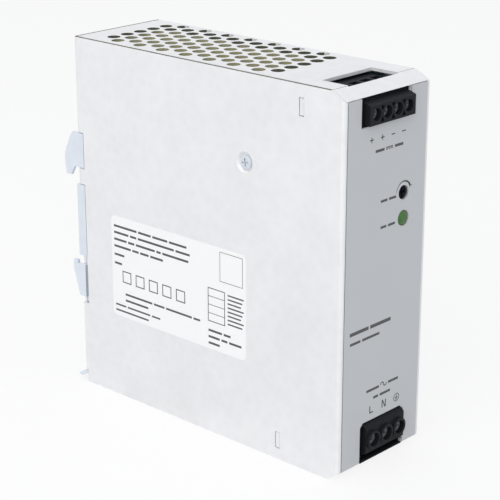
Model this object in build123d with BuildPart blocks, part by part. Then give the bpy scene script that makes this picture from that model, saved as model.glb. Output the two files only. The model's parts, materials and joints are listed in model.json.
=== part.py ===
"""DIN rail power supply: a slim folded-steel case with two screw-clamp terminal blocks,
an output trimmer, a status lamp, a rail hook with a spring latch, and the circuit inside.

Frame, in millimetres: X across the case, -Y towards the front plate, +Z up. The origin is
the rail seat: the middle of the case width, on the rear face, at the rail's centre line.
"""

from build123d import *
from math import atan, cos, pi, sin
import os

os.makedirs("parts", exist_ok=True)

# ---------------------------------------------------------------- case
case_width = 40.0
case_depth = 116.8
case_height = 123.6
rail_centre = 61.1        # rail centre line above the case bottom
sheet = 1.0               # steel thickness of cover and chassis
bend_radius = 1.5         # outer radius of a fold
seam = 0.1                # gap where two sheets meet
fit = 0.08                # radial running clearance of screws
shank_sides = 12          # hidden shanks and their holes are drawn with few sides
top_slope_depth, top_slope_height = 5.5, 3.1
bottom_slope_depth, bottom_slope_height = 4.5, 2.9
rear_foot = 4.6           # the rear plate stops this high above the bottom
foot_relief = 1.8         # and the side walls are cut back this far below it
side_flange = 1.0         # thickness of the chassis flanges behind the left panel
side_flange_height = 9.5

# vents: staggered rows across the width
vent_diameter, vent_sides = 4.5, 10
vent_pitch = 6.0
vent_long_row = 6         # holes in a long row; short rows hold one less
vent_short_rows = 8
vent_x = 0.3
vent_centre = 69.5        # middle of the pattern, behind the front plane

# slots for the wires, in the top and bottom plates
wire_slot_front = 5.0
wire_slot_back = 15.2

# locating lugs of the chassis in slots of the left panel
lug_width, lug_height = 1.5, 5.2
lug_clearance = 0.25
top_lug_depth, top_lug_drop = 16.4, 6.9      # behind the front, below the top
bottom_lug_depth, bottom_lug_rise = 25.1, 6.5

# cover screw in its dimple
side_screw_depth, side_screw_drop = 39.1, 28.2
side_screw_height = case_height - side_screw_drop
dimple_radius, dimple_depth = 3.45, 0.9
screw_head_radius, screw_radius, screw_length, screw_edge = 2.35, 1.5, 6.5, 0.3

film = 0.2                # front film
film_edge = 1.5           # left margin of the film
film_gap = 0.15
label_thickness = 0.15
label_length, label_height, label_corner = 61.9, 35.6, 1.8
label_back, label_bottom = 100.5, 29.6

# ---------------------------------------------------------------- rail mount (35 mm rail)
rail_width = 35.0
rail_sheet = 1.0
rail_play = 0.15          # between the rail flange and the lips behind it
hook_lip = 3.3            # how far the lip reaches over the flange
hook_reach = 6.35         # behind the rear plate
hook_height = 12.1        # above the rail edge
pad_height = 25.6         # rail pad between the flanges
pad_rise = 0.6
bracket_sheet = 1.0
latch_sheet = 1.0
slide_gap = 0.1           # play of the latch between bracket and rear plate
latch_overlap = 1.2       # the catch stands this far over the rail edge
latch_reach = 3.9         # behind the rear plate
latch_wedge = 12.9        # height of the catch
latch_travel = 2.0
latch_top = 50.0
notch_gap = 0.25
pull_lip_reach, pull_lip_height = 3.1, 1.4
bracket_foot = 9.0
window_width, window_drop = 8.0, 2.5          # window for the spring
hook_bevel, hook_nose, hook_tip = 0.4, 1.7, 0.6
hook_shoulder, hook_crown, hook_crown_drop = 4.1, 3.1, 1.1
pad_shift = -1.3          # middle of the pad from the rail's centre line
cheek_gap = 0.5           # latch plate inside the cheeks
catch_toe, catch_heel, catch_bevel = 1.1, 9.7, 0.5
shelf_half, shelf_margin = 3.5, 0.4
lip_bend, lip_fold, lip_relief = 0.8, 1.0, 0.4
post_radius, post_x, post_height = 2.5, 12.0, 20.0
upper_rivet_height = 84.0
rivet_radius, rivet_head_radius, rivet_head = 1.5, 2.6, 0.8
spring_radius, spring_wire, spring_turns = 2.2, 0.6, 4
spring_foot, spring_top = 13.0, 29.0

# ---------------------------------------------------------------- boards
board = 1.6
board_gap = 3.0           # solder side to the chassis wall
board_margin = 4.0        # front and bottom edge of the main board inside the case
board_tail, board_drop = 5.8, 3.2     # its rear and top edge inside the case
standoff_radius, standoff_clearance = 2.75, 0.3
standoff_front, standoff_low = 24.5, 9.0
standoff_middle = 57.0
standoff_tail, standoff_drop = 10.8, 11.6
board_screw_radius, board_screw_head = 3.0, 1.9
insulation, insulation_margin = 0.4, 1.0
riser_gap = 0.9           # riser boards inside the chassis plates
output_riser_left, output_riser_height = -12.0, 20.0
input_riser_left, input_riser_height = -9.0, 24.0
tail_rise = 1.0           # solder tails behind the riser boards

half = case_width / 2
cover_end = half - sheet - seam          # right ends of the front and rear plates
inside_left = -half + sheet              # inner face of the left panel
plate_left = inside_left + seam          # left ends of the top and bottom plates
rear_inside = case_depth - sheet
board_right = half - sheet - board_gap
board_left = board_right - board
board_back = case_depth - board_tail
board_top = case_height - board_drop
standoff_back, standoff_top = case_depth - standoff_tail, case_height - standoff_drop
standoff_places = [(standoff_front, standoff_low), (standoff_front, standoff_middle),
                   (standoff_back, standoff_low), (standoff_back, standoff_top)]

# ---------------------------------------------------------------- front controls
trimmer_inset, trimmer_drop = 5.9, 35.9  # from the main board, and below the case top
trimmer_x, trimmer_height = board_left - trimmer_inset, case_height - trimmer_drop
trimmer_hole, trimmer_rotor_radius = 4.4, 1.9
trimmer_width, trimmer_chamfer = 6.6, 0.4
trimmer_body_depth, spindle_radius, spindle_depth = 4.8, 1.0, 1.5
rotor_front, rotor_slot, rotor_slot_depth = 0.5, 0.6, 0.8
led_inset, led_drop = 5.7, 44.1
led_x, led_height = board_left - led_inset, case_height - led_drop
led_radius, led_clearance, led_rise = 2.3, 0.15, 0.7
led_rim, led_foot = 0.4, 1.0
indicator_board_front, indicator_left = 8.0, 2.0
indicator_margin = 6.5    # board beyond the lamp and the trimmer

# ---------------------------------------------------------------- circuit
# middle heights are shares of the case height; the top row hangs from the top plate
core_panel_gap, core_board_gap = 4.0, 1.4
core_length, core_stack = 38.0, 13.0
core_back, core_leg = 5.0, 10.0
core_across = board_left - core_board_gap - inside_left - core_panel_gap
transformer_x = board_left - core_board_gap - core_across / 2
transformer_depth, transformer_drop = 72.0, 20.1
transformer_height = case_height - transformer_drop
winding_high, winding_gap, winding_corner = 30.0, 1.0, 4.0
bobbin_flange, bobbin_rim, pin_rail = 0.9, 0.5, 4.0
bulk_radius, bulk_gap = 13.0, 2.4                 # gap to the left panel
bulk_depth, bulk_share = 74.0, 0.534
can_radius, can_gap = 6.25, 8.4
can_depth, can_depth_step = 30.5, 13.1
can_drop, can_drop_step = 11.4, 13.3
can_groove, can_groove_foot = 0.5, 2.5
film_width, film_length, film_rise, film_round = 15.0, 26.5, 22.0, 1.0
film_depth, film_foot = 60.0, 8.0
choke_depth, choke_share = 42.0, 0.194
choke_outer, choke_inner, choke_thick, choke_wire = 11.0, 6.0, 12.0, 1.2
inductor_depth, inductor_share = 34.0, 0.625
inductor_outer, inductor_inner, inductor_thick, inductor_wire = 9.0, 5.0, 9.0, 1.0
lead_size = 0.8
fuse_front, fuse_share, fuse_rise = 24.0, 0.356, 5.0
fuse_length, fuse_radius, fuse_cap, fuse_cap_wall = 20.0, 2.5, 5.0, 0.15
thermistor_depth, thermistor_share, thermistor_rise = 32.0, 0.465, 7.5
thermistor_radius, thermistor_thick = 5.5, 3.6
thermistor_leads = 5.0
package_thick, package_length, package_width = 4.4, 15.5, 10.0
package_rise, package_chamfer = 4.5, 0.5
bridge_tail, bridge_thick, bridge_length, bridge_rise = 24.8, 4.0, 14.0, 3.0
bridge_foot, bridge_height = 26.0, 20.0
heat_sink = 2.0
sink_panel_gap, sink_lip, sink_round = 4.0, 12.0, 1.5
primary_sink_tail, primary_sink_drop, primary_sink_height = 23.8, 51.6, 40.0
primary_package_foot = 12.0
secondary_sink_depth, secondary_sink_length = 49.0, 24.0
secondary_sink_below, secondary_sink_height = 21.4, 30.0
secondary_web_height, secondary_package_foot = 16.0, 3.0

primary_sink_depth = case_depth - primary_sink_tail
primary_sink_foot = case_height - primary_sink_drop
secondary_sink_foot = side_screw_height - secondary_sink_below


def up(height):
    """Z of a height above the case bottom."""
    return height - rail_centre


def back(depth):
    """Y of a depth behind the front plane."""
    return depth - case_depth


def level(height):
    """Horizontal sketch plane: X, Y."""
    return Plane.XY.offset(up(height))


def wall(x):
    """Upright sketch plane across X: Y, Z. Extrudes towards +X."""
    return Plane.YZ.offset(x)


def face(depth):
    """Upright sketch plane across Y: X, Z. A negative extrusion goes back into the case."""
    return Plane.XZ.offset(-back(depth))


def side_points(points):
    return [(back(depth), up(height)) for depth, height in points]


def front_points(points):
    return [(x, up(height)) for x, height in points]


def cut_box(x0, x1, d0, d1, h0, h1, mode=Mode.SUBTRACT):
    """A straight cut (or web) between two corners, inside a part."""
    with BuildSketch(level(h0)) as footprint:
        with Locations(((x0 + x1) / 2, (back(d0) + back(d1)) / 2)):
            Rectangle(x1 - x0, d1 - d0)
    extrude(footprint.sketch, amount=h1 - h0, mode=mode)


def save(part, label):
    part.label = label
    export_step(part, f"parts/{label}.step")


# ---------------------------------------------------------------- terminals
class Terminal:
    """Sizes of one row of screw clamps whose screws face the front."""

    def __init__(self, name, count, pitch, x, height, screw, thread, cage, head, entry):
        self.name = name
        self.pitch = pitch
        self.poles = [x + (i - (count - 1) / 2) * pitch for i in range(count)]
        self.width = count * pitch
        self.x = x
        self.height = height            # screw axis above the case bottom
        self.screw = screw              # shank radius
        self.thread = thread            # thread pitch
        self.cage_x, self.cage_y, self.cage_z = cage
        self.head = head                # screw head radius
        self.entry = entry              # +1 wires from above, -1 from below


head_front, head_thickness = -0.5, 1.6      # screw head behind the front plane
cavity_gap = 0.15
clamp_turns = 5
bore_sides = 8             # threaded bores are plain and few-sided, as they repeat
mouth_margin, mouth_depth = 0.55, 1.2       # widened mouths of the wire entries
cage_wall, cage_side, nut_wall = 0.7, 0.7, 1.4
bar_thickness = 0.8
block_back = 17.0
tip_gap = 0.1
tail_half = 0.5            # half width of a bar's solder tail
cavity_wall = 1.4          # between a screw head's seat and its cage
output_drop = 8.3          # output screw axes below the case top

output = Terminal("output", count=4, pitch=5.08, x=0.1, height=case_height - output_drop,
                  screw=1.25, thread=0.45, cage=(4.1, 7.4, 5.6), head=1.75, entry=1)
mains = Terminal("input", count=3, pitch=6.35, x=1.8, height=10.0,
                 screw=1.75, thread=0.6, cage=(5.3, 9.0, 6.4), head=2.1, entry=-1)

block_front = sheet + 0.3                     # shoulders behind the front plate
output_nose, output_nose_width = 2.0, 21.4
output_nose_below, output_nose_above = 3.15, 2.9
output_nose_bottom = output.height - output_nose_below
output_nose_top = output.height + output_nose_above
output_cut_left, output_cut_right, output_cut_below = -12.3, 10.95, 3.7
output_cut_bottom = output.height - output_cut_below
output_block_below, output_block_gap = 11.3, 0.9
output_block_bottom = output.height - output_block_below
output_block_top = case_height - sheet - output_block_gap
output_shoulder, output_shoulder_rise, output_top_front = 1.2, 1.0, 4.9
recess_half, recess_rise, recess_depth, recess_margin = 0.9, 1.7, 0.8, 0.6
mains_face, mains_ring, mains_ring_radius = 1.0, 1.0, 3.0
mains_face_bottom, mains_face_top = 5.8, 14.2
mains_cut_left, mains_cut_right, mains_cut_top, mains_cut_corner = -9.65, 11.6, 16.2, 1.3
mains_block_bottom, mains_block_top, mains_block_front = 1.9, 24.0, 5.2


def front_openings(margin):
    """The four cut-outs of the front plate, drawn in the open sketch."""
    top = case_height
    with Locations(((output_cut_left + output_cut_right) / 2,
                    (up(output_cut_bottom - margin) + up(top)) / 2)):
        Rectangle(output_cut_right - output_cut_left + 2 * margin,
                  top - output_cut_bottom + margin)
    left, right = mains_cut_left - margin, mains_cut_right + margin
    high, corner = mains_cut_top + margin, mains_cut_corner
    Polygon(*front_points([(left, 0), (left, high - corner), (left + corner, high),
                           (right - corner, high), (right, high - corner), (right, 0)]),
            align=None)
    with Locations((trimmer_x, up(trimmer_height))):
        Circle(trimmer_hole / 2 + margin)
    with Locations((led_x, up(led_height))):
        Circle(led_radius + led_clearance + margin)


# ---------------------------------------------------------------- rail mount stations
rail_high = rail_centre + rail_width / 2      # upper edge of the rail
rail_low = rail_centre - rail_width / 2
bracket_back = rear_inside - latch_sheet - 2 * slide_gap
bracket_front = bracket_back - bracket_sheet
latch_front = bracket_back + slide_gap
latch_back = latch_front + latch_sheet
lip_front = case_depth + pad_rise + rail_sheet + rail_play   # lips behind the rail flange
catch_top = rail_low + latch_overlap
catch_bottom = catch_top - latch_wedge
pad_top = rail_centre + pad_shift + pad_height / 2
pad_bottom = pad_top - pad_height
cheek_inner = half - bracket_sheet            # inner face of the hook and catch cheeks
plate_half = cheek_inner - cheek_gap          # latch plate inside the case
rivet_places = [(side * post_x, up(height)) for side in (-1, 1)
                for height in (post_height, upper_rivet_height)]
notch_front = bracket_front - notch_gap
spring_axis = bracket_front - spring_radius - shelf_margin
shelf_front = spring_axis - spring_radius - shelf_margin
hook_end = case_depth + hook_reach
hook_notch = (rail_high - notch_gap, rail_high + hook_height + notch_gap)
catch_notch = (catch_bottom - latch_travel - notch_gap, pad_top + notch_gap)


def cheek_notches(x0, x1):
    """Rear corner notches that the hook, pad and catch cheeks stand in."""
    for low, high in (hook_notch, catch_notch):
        cut_box(x0, x1, notch_front, case_depth + 1, low, high)


# ---------------------------------------------------------------- side cover
panel_top = case_height - seam
front_top = case_height - top_slope_height - seam
front_bottom = bottom_slope_height + seam

with BuildPart() as side_cover:
    with BuildSketch(level(0)):
        with BuildLine():
            FilletPolyline((cover_end, back(0)), (-half, back(0)),
                           (-half, back(case_depth)), (cover_end, back(case_depth)),
                           radius=bend_radius)
            offset(amount=sheet, side=Side.RIGHT)
        make_face()
    extrude(amount=case_height)
    with BuildSketch(wall(-half)):
        Polygon(*side_points([(0, front_bottom), (0, front_top),
                              (top_slope_depth, panel_top), (case_depth, panel_top),
                              (case_depth, rear_foot), (case_depth - foot_relief, rear_foot),
                              (case_depth - foot_relief, 0), (bottom_slope_depth, 0)]),
                align=None)
    extrude(amount=case_width, mode=Mode.INTERSECT)
    # the front plate stops square below the sloped flange and above the lower one
    cut_box(inside_left, cover_end, 0, 2 * sheet, front_top, case_height)
    cut_box(inside_left, cover_end, 0, 2 * sheet, 0, front_bottom)
    with BuildSketch(face(0)):
        front_openings(0)
    extrude(amount=-sheet, mode=Mode.SUBTRACT)
    # slots for the chassis lugs
    with BuildSketch(wall(-half)):
        with Locations(*side_points([(top_lug_depth, case_height - top_lug_drop),
                                     (bottom_lug_depth, bottom_lug_rise)])):
            Rectangle(lug_width + 2 * lug_clearance, lug_height + 2 * lug_clearance)
    extrude(amount=sheet, mode=Mode.SUBTRACT)
    # pressed dimple of the cover screw
    with BuildSketch(wall(inside_left)):
        with Locations(*side_points([(side_screw_depth, side_screw_height)])):
            Circle(dimple_radius + sheet / 2)
    extrude(amount=dimple_depth, taper=45)
    with BuildSketch(wall(-half)):
        with Locations(*side_points([(side_screw_depth, side_screw_height)])):
            Circle(dimple_radius)
    extrude(amount=dimple_depth, taper=45, mode=Mode.SUBTRACT)
    with BuildSketch(wall(-half)):
        with Locations(*side_points([(side_screw_depth, side_screw_height)])):
            Circle(screw_radius + fit)
    extrude(amount=2 * sheet + dimple_depth, mode=Mode.SUBTRACT)
    cheek_notches(-half, -plate_half - seam)
    cheek_notches(plate_half + seam, half)
    with BuildSketch(face(case_depth)):
        with Locations(*rivet_places):
            RegularPolygon(rivet_radius, shank_sides)
    extrude(amount=sheet, mode=Mode.SUBTRACT)
save(side_cover.part, "side_cover")


# ---------------------------------------------------------------- chassis
def plate_band(slope_depth, slope_height, end):
    """Section of a plate with its sloped front flange, as (depth, distance inwards)."""
    slope = slope_height / slope_depth
    slant = sheet / cos(atan(slope))
    foot = slope_height - seam
    return [((slope_height - foot) / slope, foot), (slope_depth, 0), (end, 0), (end, sheet),
            ((slope_height - sheet + slant) / slope, sheet),
            ((slope_height - foot + slant) / slope, foot)]


top_end = rear_inside - seam
bottom_end = latch_front - 4 * slide_gap
flange_front, flange_back = 12.0, 108.0

with BuildPart() as chassis:
    with BuildSketch(wall(half - sheet)):
        Polygon(*side_points([(0, bottom_slope_height), (0, case_height - top_slope_height),
                              (top_slope_depth, case_height), (case_depth, case_height),
                              (case_depth, rear_foot), (case_depth - foot_relief, rear_foot),
                              (case_depth - foot_relief, 0), (bottom_slope_depth, 0)]),
                align=None)
    extrude(amount=sheet)
    with BuildSketch(wall(plate_left)):
        Polygon(*side_points([(d, case_height - t) for d, t in
                              plate_band(top_slope_depth, top_slope_height, top_end)]),
                align=None)
        Polygon(*side_points([(d, t) for d, t in
                              plate_band(bottom_slope_depth, bottom_slope_height, bottom_end)]),
                align=None)
    extrude(amount=half - plate_left)
    # the folds along the right wall
    folds = chassis.edges().filter_by(Axis.Y).filter_by(lambda e: e.length > case_depth / 2)
    outer_folds = folds.group_by(Axis.X)[-1].sort_by(Axis.Z)
    fillet([outer_folds[0], outer_folds[-1]], radius=bend_radius)
    # flanges behind the left panel, each with a lug for its slot
    cut_box(plate_left, plate_left + side_flange, flange_front, flange_back,
            case_height - side_flange_height, case_height - sheet, mode=Mode.ADD)
    cut_box(plate_left, plate_left + side_flange, flange_front, flange_back,
            sheet, side_flange_height, mode=Mode.ADD)
    with BuildSketch(wall(-half + 2 * seam)):
        with Locations(*side_points([(top_lug_depth, case_height - top_lug_drop),
                                     (bottom_lug_depth, bottom_lug_rise)])):
            Rectangle(lug_width, lug_height)
    extrude(amount=sheet)
    # wire slots over the terminal blocks
    cut_box(output_cut_left, output_cut_right, wire_slot_front, wire_slot_back,
            case_height - 2 * top_slope_height, case_height)
    cut_box(mains_cut_left, mains_cut_right, wire_slot_front, wire_slot_back,
            0, 2 * bottom_slope_height)
    cheek_notches(half - 2 * sheet, half)
    # vents through both plates
    with BuildSketch(level(case_height)):
        with Locations((vent_x, back(vent_centre))):
            row_step = 2 * vent_pitch * sin(pi / 3)
            with GridLocations(vent_pitch, row_step, vent_long_row - 1, vent_short_rows):
                RegularPolygon(vent_diameter / 2, vent_sides)
            with GridLocations(vent_pitch, row_step, vent_long_row, vent_short_rows - 1):
                RegularPolygon(vent_diameter / 2, vent_sides)
    extrude(amount=-case_height, mode=Mode.SUBTRACT)
save(chassis.part, "chassis")


# ---------------------------------------------------------------- film, label, cover screw
with BuildPart() as front_overlay:
    with BuildSketch(face(-film)):
        Polygon(*front_points([(-half + film_edge, front_bottom), (-half + film_edge, front_top),
                               (cover_end, front_top), (cover_end, front_bottom)]), align=None)
    extrude(amount=-film)
    with BuildSketch(face(-film)):
        front_openings(film_gap)
    extrude(amount=-film, mode=Mode.SUBTRACT)
save(front_overlay.part, "front_overlay")

with BuildPart() as rating_label:
    with BuildSketch(wall(-half - label_thickness)):
        with Locations(*side_points([(label_back - label_length / 2,
                                      label_bottom + label_height / 2)])):
            RectangleRounded(label_length, label_height, label_corner)
    extrude(amount=label_thickness)
save(rating_label.part, "rating_label")

with BuildPart() as side_screw:
    with BuildSketch(wall(-half + dimple_depth)):
        with Locations(*side_points([(side_screw_depth, side_screw_height)])):
            Circle(screw_head_radius)
    extrude(amount=-dimple_depth + seam)
    with BuildSketch(wall(-half + dimple_depth)):
        with Locations(*side_points([(side_screw_depth, side_screw_height)])):
            Circle(screw_radius)
    extrude(amount=screw_length)
    chamfer(side_screw.faces().sort_by(Axis.X)[0].edges(), length=screw_edge)
save(side_screw.part, "side_screw")


# ---------------------------------------------------------------- rail bracket
with BuildPart() as rail_bracket:
    # base plate, widened to both case sides where the cheeks stand
    with BuildSketch(face(bracket_front)):
        with BuildLine():
            Polyline(*front_points([(-plate_half, bracket_foot), (-plate_half, pad_bottom),
                                    (-half, pad_bottom), (-half, pad_top),
                                    (-plate_half, pad_top), (-plate_half, rail_high),
                                    (-half, rail_high), (-half, rail_high + hook_height),
                                    (0, rail_high + hook_height), (0, bracket_foot)]),
                     close=True)
        make_face()
        mirror(about=Plane.YZ)
        # window for the spring and for the latch tab that bears on it
        with Locations((0, up((spring_foot + latch_top) / 2))):
            Rectangle(window_width + 2 * cheek_gap, latch_top - spring_foot, mode=Mode.SUBTRACT)
    extrude(amount=-bracket_sheet)
    # hook and pad cheeks
    with BuildSketch(wall(cheek_inner)):
        with BuildLine():
            Polyline(*side_points([
                (bracket_front, rail_high), (lip_front - hook_bevel, rail_high),
                (lip_front, rail_high - hook_bevel), (lip_front + hook_nose, rail_high - hook_lip),
                (hook_end - hook_tip, rail_high - hook_lip), (hook_end, rail_high - hook_bevel),
                (hook_end, rail_high + hook_shoulder),
                (case_depth + hook_crown, rail_high + hook_height - hook_crown_drop),
                (case_depth + hook_crown - hook_crown_drop, rail_high + hook_height),
                (bracket_front, rail_high + hook_height)]), close=True)
        make_face()
        Polygon(*side_points([(bracket_front, pad_bottom), (case_depth + pad_rise, pad_bottom),
                              (case_depth + pad_rise, pad_top), (bracket_front, pad_top)]),
                align=None)
    cheeks = extrude(amount=bracket_sheet)
    mirror(cheeks, about=Plane.YZ)
    # posts that guide the latch and carry the rivets, and spacers above it
    with BuildSketch(face(bracket_back)):
        with Locations(*rivet_places):
            Circle(post_radius)
    extrude(amount=-(rear_inside - bracket_back))
    with BuildSketch(face(bracket_front)):
        with Locations(*rivet_places):
            RegularPolygon(rivet_radius, shank_sides)
    extrude(amount=-(rear_inside - bracket_front), mode=Mode.SUBTRACT)
    # shelf that the spring stands on
    cut_box(-shelf_half, shelf_half, shelf_front, bracket_front,
            spring_foot - bracket_sheet, spring_foot, mode=Mode.ADD)
save(rail_bracket.part, "rail_bracket")


# ---------------------------------------------------------------- rail latch
with BuildPart() as rail_latch:
    with BuildSketch(face(latch_front)):
        with BuildLine():
            Polyline(*front_points([(0, rear_foot + lip_bend), (plate_half, rear_foot + lip_bend),
                                    (plate_half, catch_bottom), (half, catch_bottom),
                                    (half, rail_low), (plate_half, rail_low),
                                    (plate_half, latch_top), (0, latch_top)]), close=True)
        make_face()
        mirror(about=Plane.YZ)
        # guide slots on the bracket posts, and the spring window
        for side in (-1, 1):
            with Locations((side * post_x, up(post_height + latch_travel / 2))):
                SlotCenterToCenter(latch_travel, 2 * (post_radius + slide_gap), rotation=90,
                                   mode=Mode.SUBTRACT)
        window_foot = spring_foot - latch_travel - window_drop
        with Locations((0, up((window_foot + spring_top) / 2))):
            Rectangle(window_width, spring_top - window_foot, mode=Mode.SUBTRACT)
    extrude(amount=-latch_sheet)
    # catch cheeks: a wedge below, a lip over the rail edge above
    with BuildSketch(wall(cheek_inner)):
        with BuildLine():
            Polyline(*side_points([
                (latch_front, catch_bottom), (case_depth + catch_toe, catch_bottom),
                (case_depth + latch_reach, catch_bottom + catch_heel),
                (case_depth + latch_reach, catch_top - catch_bevel),
                (case_depth + latch_reach - catch_bevel, catch_top), (lip_front, catch_top),
                (lip_front, rail_low), (latch_front, rail_low)]), close=True)
        make_face()
    catches = extrude(amount=latch_sheet)
    mirror(catches, about=Plane.YZ)
    # tab bent forward over the spring
    cut_box(-shelf_half, shelf_half, shelf_front, latch_back,
            spring_top, spring_top + latch_sheet, mode=Mode.ADD)
    # tail curled out under the rear plate into the pull lip
    lip_end = case_depth + pull_lip_reach
    lip_path = [(latch_front, rear_foot + lip_bend), (latch_front, rear_foot - lip_bend),
                (latch_front + lip_fold, rear_foot - 2 * lip_fold),
                (lip_end - lip_fold, pull_lip_height - lip_fold / 2), (lip_end, pull_lip_height),
                (lip_end, pull_lip_height + lip_fold / 2),
                (latch_back + lip_fold, rear_foot - lip_fold), (latch_back, rear_foot),
                (latch_back, rear_foot + lip_bend)]
    with BuildSketch(wall(-plate_half)):
        Polygon(*side_points(lip_path), align=None)
    extrude(amount=2 * plate_half)
    # outside the case the lip is as wide as the case
    lip_start = case_depth - foot_relief + lip_relief
    lip_top = rear_foot - 2 * lip_relief
    with BuildSketch(wall(-half + 2 * seam)):
        Polygon(*side_points(lip_path), align=None)
        Polygon(*side_points([(lip_start, 0), (lip_end, 0), (lip_end, lip_top),
                              (lip_start, lip_top)]), align=None, mode=Mode.INTERSECT)
    extrude(amount=case_width - 4 * seam)
save(rail_latch.part, "rail_latch")


# ---------------------------------------------------------------- latch spring and rivets
with BuildPart() as latch_spring:
    coil_radius = spring_radius - spring_wire / 2
    coil_height = spring_top - spring_foot - spring_wire
    with BuildLine() as coil:
        Helix(pitch=coil_height / spring_turns, height=coil_height, radius=coil_radius,
              center=(0, back(spring_axis), up(spring_foot) + spring_wire / 2))
    with BuildSketch(Plane(coil.line @ 0, z_dir=coil.line % 0)):
        Rectangle(spring_wire, spring_wire)
    sweep(path=coil.line, is_frenet=True)
save(latch_spring.part, "latch_spring")

with BuildPart() as bracket_rivets:
    with BuildSketch(face(bracket_front)):
        with Locations(*rivet_places):
            RegularPolygon(rivet_radius, shank_sides)
    extrude(amount=-(case_depth - bracket_front))
    with BuildSketch(face(bracket_front)):
        with Locations(*rivet_places):
            Circle(rivet_head_radius)
    extrude(amount=rivet_head)
    with BuildSketch(face(case_depth)):
        with Locations(*rivet_places):
            Circle(rivet_head_radius)
    extrude(amount=-rivet_head)
save(bracket_rivets.part, "bracket_rivets")


# ---------------------------------------------------------------- terminal blocks
class ClampStations:
    """Depths of one clamp, front to back, all taken from the screw head and the cage."""

    def __init__(self, terminal):
        self.travel = clamp_turns * terminal.thread
        self.seat = head_front + head_thickness
        self.cavity_front = self.seat + cavity_wall
        self.cage_front = self.cavity_front + cavity_gap + self.travel
        self.cage_back = self.cage_front + terminal.cage_y
        self.cavity_back = self.cage_back + cavity_gap
        self.bar_front = self.cage_front + nut_wall + cavity_gap
        self.bar_back = self.bar_front + bar_thickness
        self.tip = self.bar_front - tip_gap
        self.wire_back = self.cage_back - cage_wall
        # half widths: wire entry, current bar; heights of the bar's two ends
        self.entry = terminal.cage_x / 2 - cage_side
        self.bar = self.entry - 0.4
        self.bar_end = terminal.height + terminal.entry * (terminal.cage_z / 2 - 0.3)
        self.bar_foot = terminal.height - terminal.entry * (terminal.cage_z / 2 + 3.2)
        self.tail = self.bar_foot + terminal.entry * bar_thickness
        outer = output_block_top if terminal.entry > 0 else mains_block_bottom
        self.mouth = outer - terminal.entry * mouth_depth


def cut_clamp_wells(terminal):
    """Screw wells, cage cavities and wire entries of a block, cut from the open part."""
    at = ClampStations(terminal)
    low = terminal.height - terminal.cage_z / 2 - cavity_gap
    high = terminal.height + terminal.cage_z / 2 + cavity_gap
    outside = output_block_top + 1 if terminal.entry > 0 else 0
    for x in terminal.poles:
        with BuildSketch(face(-output_nose - 1)) as well:
            with Locations((x, up(terminal.height))):
                Circle(terminal.head + 2 * fit)
        extrude(well.sketch, amount=-(output_nose + 1 + at.seat), mode=Mode.SUBTRACT)
        with BuildSketch(face(0)) as shank:
            with Locations((x, up(terminal.height))):
                RegularPolygon(terminal.screw + fit, shank_sides, major_radius=False)
        extrude(shank.sketch, amount=-at.cavity_back, mode=Mode.SUBTRACT)
        reach = terminal.cage_x / 2 + cavity_gap
        cut_box(x - reach, x + reach, at.cavity_front, at.cavity_back, low, high)
        near = terminal.height
        cut_box(x - at.entry, x + at.entry, at.bar_back, at.wire_back,
                min(near, outside), max(near, outside))
        mouth = at.entry + mouth_margin
        cut_box(x - mouth, x + mouth, at.bar_back - mouth_margin, at.wire_back + mouth_margin,
                min(at.mouth, outside), max(at.mouth, outside))
        # the bar's slot through the floor of the cavity, and the way out of its tail
        cut_box(x - at.bar, x + at.bar, at.bar_front, at.bar_back,
                min(near, at.bar_foot), max(near, at.bar_foot))
        cut_box(x - tail_half, x + tail_half, at.bar_front, block_back,
                min(at.bar_foot, at.tail), max(at.bar_foot, at.tail))


with BuildPart() as output_terminal_block:
    with BuildSketch(wall(output.x - output_nose_width / 2)):
        Polygon(*side_points([(-output_nose, output_nose_bottom), (-output_nose, output_nose_top),
                              (output_shoulder, output_nose_top + output_shoulder_rise),
                              (output_top_front, output_block_top),
                              (block_back, output_block_top), (block_back, output_block_bottom),
                              (block_front, output_block_bottom),
                              (block_front, output_nose_bottom)]), align=None)
    extrude(amount=output_nose_width)
    cut_clamp_wells(output)
    # small triangular recesses between the wells
    with BuildSketch(face(-output_nose)) as recesses:
        for i in range(len(output.poles) - 1):
            middle = (output.poles[i] + output.poles[i + 1]) / 2
            foot = output_nose_bottom + recess_margin
            top = output_nose_top - recess_margin
            Polygon(*front_points([(middle - recess_half, foot), (middle + recess_half, foot),
                                   (middle, foot + recess_rise)]), align=None)
            Polygon(*front_points([(middle - recess_half, top), (middle, top - recess_rise),
                                   (middle + recess_half, top)]), align=None)
    extrude(recesses.sketch, amount=-recess_depth, mode=Mode.SUBTRACT)
save(output_terminal_block.part, "output_terminal_block")

with BuildPart() as input_terminal_block:
    with BuildSketch(wall(mains.x - mains.width / 2)):
        Polygon(*side_points([(-mains_face, mains_face_bottom), (-mains_face, mains_face_top),
                              (block_front, mains_cut_top + seam),
                              (block_front, mains_block_top), (block_back, mains_block_top),
                              (block_back, mains_block_bottom),
                              (mains_block_front, mains_block_bottom)]), align=None)
    extrude(amount=mains.width)
    with BuildSketch(face(-mains_face)):
        with Locations(*front_points([(x, mains.height) for x in mains.poles])):
            Circle(mains_ring_radius)
    extrude(amount=mains_ring)
    # the nose clears the cut corners of the opening
    corner = mains_cut_corner + seam
    with BuildSketch(face(-mains_face)) as corners:
        for side in (-1, 1):
            edge = mains_cut_left if side < 0 else mains_cut_right
            Polygon(*front_points([(edge, mains_cut_top - corner), (edge, mains_cut_top + 1),
                                   (edge - side * (corner + 1), mains_cut_top + 1),
                                   (edge - side * corner, mains_cut_top)]), align=None)
    extrude(corners.sketch, amount=-(mains_face + block_front), mode=Mode.SUBTRACT)
    cut_clamp_wells(mains)
save(input_terminal_block.part, "input_terminal_block")


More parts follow.
